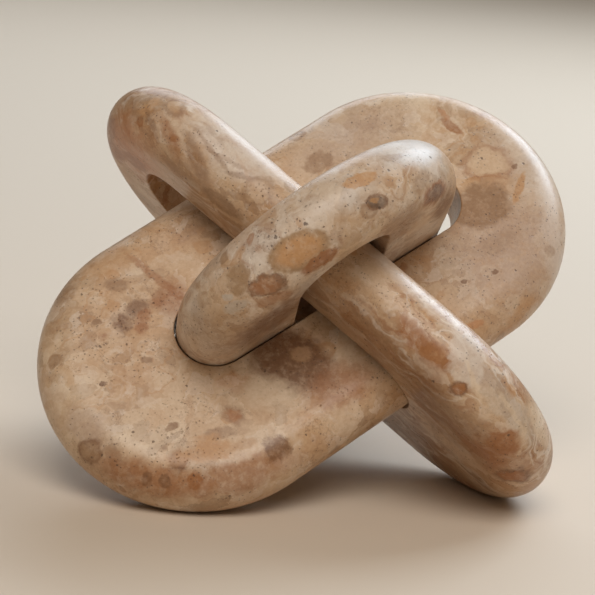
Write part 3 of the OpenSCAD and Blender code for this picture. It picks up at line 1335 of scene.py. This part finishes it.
CROSSING_MARBLE = MarbleFinish(
    name="crossing_streaked_marble",
    pale=Tone.BEIGE,
    main=Tone.SAND,
    warm=Tone.RUST,
    seed=(31.0, 12.0, 5.0),
    streak=0.5,
    stretch=0.4,
    swirl_share=0.54,
    warm_share=0.4,
    patch_share=0.42,
    clast_share=0.2,
    vein_share=0.3,
    marks=(
        Mark(pixel=(232, 146), radii=(52, 26), tone=Tone.PEARL, turn=-40, share=0.75, soft=0.8),
        # Faint brown on the flank under the left limb: painted shade
        Mark(pixel=(178, 172), radii=(44, 14), tone=Tone.BROWN, turn=-58, share=0.15, soft=1.0),
        Mark(pixel=(506, 464), radii=(34, 24), tone=Tone.RUST, turn=-40, share=0.5, soft=1.0),
        # Orange on the left flank: the stone's ochre, warmed as painted reflection of warm light
        Mark(pixel=(130, 150), radii=(38, 32), tone=Tone.ORANGE, turn=-40, share=0.75, soft=1.1),
        Mark(
            pixel=(145, 107), radii=(18, 12), tone=Tone.OCHRE, turn=10, rim=Tone.TAUPE, share=0.55, soft=0.6
        ),
        Mark(pixel=(174, 106), radii=(14, 10), tone=Tone.SAND, rim=Tone.BROWN, share=0.5, soft=0.6),
        Mark(pixel=(111, 128), radii=(8, 12), tone=Tone.RUST, share=0.8, soft=0.7),
        # Rust on the left flank, strengthened as painted warm reflection
        Mark(pixel=(114, 150), radii=(14, 16), tone=Tone.RUST, share=0.9, soft=0.8),
        Mark(pixel=(171, 138), radii=(6, 21), tone=Tone.RUST, turn=20, share=0.65, soft=0.9),
        Mark(pixel=(135, 162), radii=(17, 5), tone=Tone.RUST, turn=-38, share=0.8),
        Mark(pixel=(196, 158), radii=(7, 30), tone=Tone.BROWN, turn=22, share=0.45, soft=0.7),
        Mark(pixel=(212, 150), radii=(30, 2.6), tone=Tone.TAUPE, turn=-52, share=0.55, soft=0.9),
        Mark(pixel=(228, 160), radii=(26, 2.4), tone=Tone.TAUPE, turn=-30, share=0.5, soft=0.9),
        Mark(pixel=(243, 176), radii=(20, 2.6), tone=Tone.BROWN, turn=-14, share=0.45, soft=0.9),
        Mark(pixel=(151, 122), radii=(3, 16), tone=Tone.BROWN, turn=24, share=0.45, soft=0.9),
        Mark(pixel=(222, 203), radii=(26, 6), tone=Tone.TAUPE, turn=-38, share=0.8),
        Mark(
            pixel=(261, 191), radii=(17, 13), tone=Tone.BEIGE, turn=35, rim=Tone.TAUPE, share=0.6, soft=0.5
        ),
        Mark(pixel=(246, 172), radii=(24, 2), tone=Tone.OCHRE, turn=-62, share=0.2),
        Mark(pixel=(214, 134), radii=(18, 2.2), tone=Tone.TAUPE, turn=-48, share=0.2),
        # Broad brown along the right limb's lower side: painted shade
        Mark(pixel=(390, 352), radii=(70, 24), tone=Tone.BROWN, turn=-43, share=0.45, soft=1.0),
        Mark(pixel=(450, 420), radii=(60, 18), tone=Tone.BROWN, turn=-44, share=0.5, soft=1.0),
        Mark(pixel=(370, 285), radii=(34, 10), tone=Tone.BEIGE, turn=-40, share=0.6, soft=0.9),
        Mark(pixel=(356, 338), radii=(24, 8), tone=Tone.SAND, turn=-45, share=0.4, soft=0.8),
        Mark(pixel=(383, 338), radii=(42, 3), tone=Tone.TAUPE, turn=-42),
        Mark(pixel=(426, 344), radii=(34, 11), tone=Tone.RUST, turn=-42, share=0.75, soft=0.8),
        # Pale band along the right limb's upper edge: painted highlight
        Mark(pixel=(440, 316), radii=(80, 7), tone=Tone.CHALK, turn=-43, share=0.4, soft=1.0),
        Mark(pixel=(500, 398), radii=(64, 15), tone=Tone.GREY, turn=-47, share=0.5, soft=0.6),
        Mark(pixel=(465, 360), radii=(19, 27), tone=Tone.PEARL, turn=12, share=0.7, soft=0.3),
        Mark(pixel=(489, 402), radii=(13, 22), tone=Tone.CREAM, turn=25, share=0.3, soft=0.4),
        Mark(pixel=(459, 389), radii=(9, 8), tone=Tone.RUST, rim=Tone.BROWN, share=0.9),
        Mark(pixel=(474, 381), radii=(3, 22), tone=Tone.CREAM, turn=20, share=0.6, soft=0.8),
        Mark(pixel=(512, 412), radii=(2.6, 26), tone=Tone.CREAM, turn=34, share=0.55, soft=0.8),
        Mark(pixel=(522, 440), radii=(2.4, 18), tone=Tone.CREAM, turn=-12, share=0.5, soft=0.8),
        Mark(pixel=(540, 427), radii=(8, 26), tone=Tone.CREAM, turn=25, share=0.7),
        Mark(pixel=(504, 442), radii=(16, 13), tone=Tone.RUST, share=0.9, soft=0.7),
        Mark(pixel=(514, 477), radii=(17, 12), tone=Tone.RUST, rim=Tone.BROWN, share=1.0, soft=0.7),
        Mark(pixel=(482, 452), radii=(26, 10), tone=Tone.RUST, turn=-44, share=0.6, soft=0.9),
    ),
)

FRONT_MARBLE = MarbleFinish(
    name="front_cream_marble",
    pale=Tone.PEARL,
    main=Tone.BEIGE,
    warm=Tone.SAND,
    seed=(-22.0, 17.0, 9.0),
    streak=0.1,
    stretch=0.7,
    swirl_share=0.3,
    warm_share=0.5,
    patch_share=0.36,
    clast_share=0.2,
    vein_share=0.25,
    marks=(
        Mark(pixel=(412, 150), radii=(40, 18), tone=Tone.GREY, turn=22, share=0.85, soft=1.0),
        Mark(pixel=(330, 200), radii=(60, 22), tone=Tone.GREY, turn=32, share=0.45, soft=1.1),
        # Taupe on the lower end: the stone's mauve-brown, spread as painted shade where the end faces down
        Mark(pixel=(217, 335), radii=(40, 24), tone=Tone.TAUPE, turn=20, share=0.45, soft=1.0),
        # Brown strip on the underside face left of the crossing link: painted shade
        Mark(pixel=(270, 322), radii=(44, 12), tone=Tone.BROWN, turn=34, share=0.8, soft=1.0),
        Mark(pixel=(197, 309), radii=(7, 14), tone=Tone.TAUPE, turn=-12, share=0.3),
        Mark(
            pixel=(299, 251), radii=(34, 19), tone=Tone.OCHRE, turn=25, rim=Tone.OLIVE, share=0.95, soft=0.22
        ),
        Mark(pixel=(320, 261), radii=(22, 6), tone=Tone.RUST, turn=34, share=0.9),
        Mark(
            pixel=(266, 286), radii=(20, 12), tone=Tone.RUST, turn=12, rim=Tone.BROWN, share=0.85, soft=0.3
        ),
        Mark(pixel=(238, 278), radii=(11, 15), tone=Tone.OLIVE, share=0.85),
        Mark(pixel=(275, 299), radii=(22, 5), tone=Tone.RUST, turn=18, share=0.55),
        Mark(pixel=(360, 180), radii=(19, 7), tone=Tone.OCHRE, turn=20, share=0.85, soft=0.25),
        Mark(pixel=(377, 202), radii=(13, 8), tone=Tone.DARK, turn=8, rim=Tone.BROWN, share=0.7, soft=0.22),
        Mark(pixel=(375, 200), radii=(5, 3), tone=Tone.OCHRE, share=0.7),
        Mark(pixel=(238, 256), radii=(4, 12), tone=Tone.OCHRE, turn=-30, share=0.4),
        Mark(pixel=(421, 182), radii=(8, 16), tone=Tone.BROWN, turn=-35, share=0.35, soft=0.6),
        Mark(pixel=(437, 193), radii=(20, 11), tone=Tone.BROWN, turn=20, rim=Tone.RUST, share=1.0, soft=0.6),
        # Brown on the lower part of the upper right end: painted shade
        Mark(pixel=(443, 208), radii=(14, 24), tone=Tone.BROWN, turn=5, share=0.9, soft=1.0),
        # Brown on the underside face right of the crossing link: painted shade
        Mark(pixel=(400, 226), radii=(30, 16), tone=Tone.BROWN, turn=40, share=0.6, soft=0.9),
        Mark(pixel=(342, 226), radii=(3, 17), tone=Tone.TAUPE, turn=-8, share=0.25),
        Mark(pixel=(228, 297), radii=(6, 4), tone=Tone.GREY),
        Mark(pixel=(236, 306), radii=(14, 6), tone=Tone.GREY, turn=20, share=0.7),
        Mark(pixel=(276, 237), radii=(2.2, 2.0), tone=Tone.PIT, share=0.8),
        Mark(pixel=(305, 224), radii=(2.4, 2.0), tone=Tone.PIT, share=0.8),
        Mark(pixel=(393, 157), radii=(12, 4), tone=Tone.TAUPE, turn=15, share=0.5),
    ),
)


@dataclass(frozen=True)
class SteelFinish:
    """Ground stainless steel of the dowel pins, with fine lines along the pin."""

    name: str = "ground_steel"
    dull: Triple = (172, 173, 176)
    bright: Triple = (205, 206, 208)
    lines_per_metre: Triple = (60.0, 4000.0, 4000.0)
    line_depth: float = 0.02 * MM
    least_rough: float = 0.28
    line_rough: float = 0.2

    def make(self, place: LinkPlace) -> bpy.types.Material:
        """Builds the steel with its lines along a link's long direction.

        Args:
            place: where the link lies.

        Returns:
            The material.
        """
        board = Board(self.name)
        settings = {"vector_type": "POINT"}
        turn = Matrix(place.axes.T.tolist()).to_euler("XYZ")
        own = board.node("ShaderNodeMapping", settings, {"Vector": board.here(), "Rotation": turn})
        lines = board.node("ShaderNodeMapping", settings, {"Vector": own, "Scale": self.lines_per_metre})
        scratch = board.noise(lines, scale=1.0)
        return board.surface(
            {
                "Base Color": board.mix(linear(self.dull), linear(self.bright), scratch),
                "Metallic": 1.0,
                "Roughness": self.least_rough + scratch * self.line_rough,
                "Normal": board.bump(scratch, self.line_depth),
            }
        )


@dataclass(frozen=True)
class ResinFinish:
    """Cured stone resin of the seam, faintly cloudy with small bubbles."""

    name: str = "seam_resin"
    dull: Triple = (214, 196, 164)
    clear: Triple = (232, 219, 194)
    bubble: Triple = (180, 158, 124)
    bubbles_per_metre: float = 900.0
    bubble_share: float = 0.25
    bubble_cover: float = 0.6
    bubble_depth: float = 0.05 * MM
    least_rough: float = 0.3
    cloud_rough: float = 0.15

    def make(self) -> bpy.types.Material:
        """Builds the resin.

        Returns:
            The material.
        """
        board = Board(self.name)
        here = board.here()
        cloud = board.noise(here, scale=180.0, detail=4.0)
        distance, (pick, _, _) = board.cells(here, self.bubbles_per_metre)
        bubble = board.fade(distance, 0.3, 0.2) * (pick < self.bubble_share)
        colour = board.mix(linear(self.dull), linear(self.clear), cloud)
        return board.surface(
            {
                "Base Color": board.mix(colour, linear(self.bubble), bubble * self.bubble_cover),
                "Roughness": self.least_rough + cloud * self.cloud_rough,
                "Normal": board.bump(1 - bubble, self.bubble_depth),
            }
        )


@dataclass(frozen=True)
class Knot:
    """The three links, the seam of the front one, and their finishes."""

    broad: LinkForm = LinkForm(
        third=0,
        length=217 * MM,
        width=113 * MM,
        shift=(-4 * MM, -1.5 * MM, 5 * MM),
        slack_round=17.5 * MM,
        play_round=8 * MM,
        room_turn=-15,
    )
    crossing: LinkForm = LinkForm(
        third=1,
        length=214 * MM,
        width=103 * MM,
        shift=(-3.1 * MM, 0.5 * MM, 2.6 * MM),
        slack_round=22 * MM,
        play_round=10 * MM,
        room_turn=-45,
    )
    front: LinkForm = LinkForm(
        third=2,
        length=202 * MM,
        width=115 * MM,
        shift=(-6.8 * MM, 0.1 * MM, 3 * MM),
        slack_round=8.6 * MM,
        play_round=1.6 * MM,
        room_turn=45,
    )
    lie: KnotLie = KnotLie()
    bond: float = 0.4 * MM

    def links(self) -> tuple[StoneLink, StoneLink, StoneLink]:
        """The links in their places, each slotted for the link inside it.

        Returns:
            The broad, crossing and front link.
        """
        forms = [self.broad, self.crossing, self.front]
        places = self.lie.stand(forms)
        # The broad link holds the front one, the crossing one holds the broad one, and so on round
        insides = (2, 0, 1)
        slots = [
            Passage.round_link(forms[inside], places[inside], host)
            for inside, host in zip(insides, places)
        ]
        broad, crossing, front = map(StoneLink, forms, places, slots)
        return broad, crossing, front

    def build(self, view: PhotoView) -> None:
        """Makes the pieces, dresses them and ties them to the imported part.

        Args:
            view: the camera, through whose pixels the marks are placed.
        """
        broad, crossing, front = self.links()
        limb_middle = (self.front.width + self.crossing.slot_width) / 4
        hole = DowelHole(limb_middle)
        seam = self.bond / 2
        broad_stone = broad.whole("broad_link_stone")
        crossing_stone = crossing.whole("crossing_link_stone")
        near_stone = front.half_piece("front_link_near_stone", 1, seam, hole)
        far_stone = front.half_piece("front_link_far_stone", -1, seam, hole)
        broad_marble = BROAD_MARBLE.make(broad, [broad_stone], view)
        crossing_marble = CROSSING_MARBLE.make(crossing, [crossing_stone], view)
        front_marble = FRONT_MARBLE.make(front, [near_stone, far_stone], view)
        tie(broad_stone, "broad", "broad_link", broad_marble)
        tie(crossing_stone, "crossing", "crossing_link", crossing_marble)
        tie(near_stone, "front", "front_link_near_half", front_marble)
        tie(far_stone, "front", "front_link_far_half", front_marble)
        dress_node(SteelFinish().make(front.place), "left_dowel", "right_dowel")
        dress_node(ResinFinish().make(), "left_bond", "right_bond")


def tie(piece: bpy.types.Object, body: str, node: str, material: bpy.types.Material) -> None:
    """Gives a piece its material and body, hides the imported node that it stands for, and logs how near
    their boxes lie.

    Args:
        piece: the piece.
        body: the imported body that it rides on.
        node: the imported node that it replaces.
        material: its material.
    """
    piece.data.materials.append(material)
    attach(piece, body)
    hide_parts(node)
    packed = np.array(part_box(node))
    # The first and the seventh corner of a bound box are its lowest and its highest
    made = np.array([piece.bound_box[0], piece.bound_box[6]])
    off = np.abs(packed - made).max() / MM
    LOG.info("%s: %d faces, box within %.3f mm of %s", piece.name, len(piece.data.polygons), off, node)


def dress_node(material: bpy.types.Material, *nodes: str) -> None:
    """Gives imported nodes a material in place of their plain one.

    Args:
        material: the material.
        nodes: the names of the nodes.
    """
    for node in nodes:
        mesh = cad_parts[node].data
        mesh.materials.clear()
        mesh.materials.append(material)
        LOG.info("%s: %s", node, material.name)


@dataclass(frozen=True)
class Lamp:
    """A soft box: where it stands, its size in metres, its power in watts and its colour."""

    name: str
    place: Triple
    size: tuple[float, float]
    power: float
    colour: Triple


@dataclass(frozen=True)
class Studio:
    """A plain pale floor and plain soft light."""

    floor_half: float = 12.0
    floor_drop: float = 0.05 * MM
    floor_colour: Triple = (212, 196, 176)
    floor_rough: float = 0.7
    sky_colour: Triple = (244, 230, 212)
    sky_power: float = 0.19
    target: Triple = (0.0, 0.0, 0.065)
    lamps: tuple[Lamp, ...] = (
        Lamp("window_key", place=(1.05, 0.8, 1.15), size=(0.9, 0.9), power=19.0, colour=(221, 238, 255)),
        Lamp("back_box", place=(0.3, 1.4, 1.0), size=(1.6, 0.9), power=10.8, colour=(228, 241, 255)),
        Lamp("top_box", place=(-0.05, -0.95, 1.25), size=(1.0, 0.8), power=14.3, colour=(255, 250, 245)),
    )

    def build(self) -> None:
        """Makes the floor, the lamps and the sky."""
        self.floor()
        for lamp in self.lamps:
            self.hang(lamp)
        sky = bpy.data.worlds.new("studio_sky")
        sky.use_nodes = True
        back = sky.node_tree.nodes["Background"]
        back.inputs["Color"].default_value = linear(self.sky_colour)
        back.inputs["Strength"].default_value = self.sky_power
        bpy.context.scene.world = sky

    def floor(self) -> None:
        """Lays a flat square of floor, just under the feet."""
        signs = np.array([(-1, -1), (1, -1), (1, 1), (-1, 1)])
        corners = np.column_stack([signs * self.floor_half, np.full(len(signs), -self.floor_drop)])
        mesh = bpy.data.meshes.new("pale_floor")
        mesh.from_pydata(corners.tolist(), [], [(0, 1, 2, 3)])
        floor = bpy.data.objects.new("pale_floor", mesh)
        bpy.context.scene.collection.objects.link(floor)
        sockets = {"Base Color": linear(self.floor_colour), "Roughness": self.floor_rough}
        mesh.materials.append(Board("pale_floor").surface(sockets))

    def hang(self, lamp: Lamp) -> None:
        """Hangs a soft box and turns it to the knot.

        Args:
            lamp: the soft box.
        """
        light = bpy.data.lights.new(lamp.name, "AREA")
        light.shape = "RECTANGLE"
        light.size, light.size_y = lamp.size
        light.energy = lamp.power
        light.color = linear(lamp.colour)[:3]
        box = bpy.data.objects.new(lamp.name, light)
        box.location = lamp.place
        away = Vector(lamp.place) - Vector(self.target)
        box.rotation_euler = away.to_track_quat("Z", "Y").to_euler()
        bpy.context.scene.collection.objects.link(box)


def write_sizes() -> None:
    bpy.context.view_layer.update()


def main() -> None:
    """Builds the camera, the knot and the studio in order."""
    logging.basicConfig(level=logging.INFO, format="%(message)s")
    bpy.context.scene.view_settings.view_transform = "Standard"
    view = PhotoView()
    view.make()
    Knot().build(view)
    Studio().build()
    write_sizes()


if __name__ == "__main__":
    main()
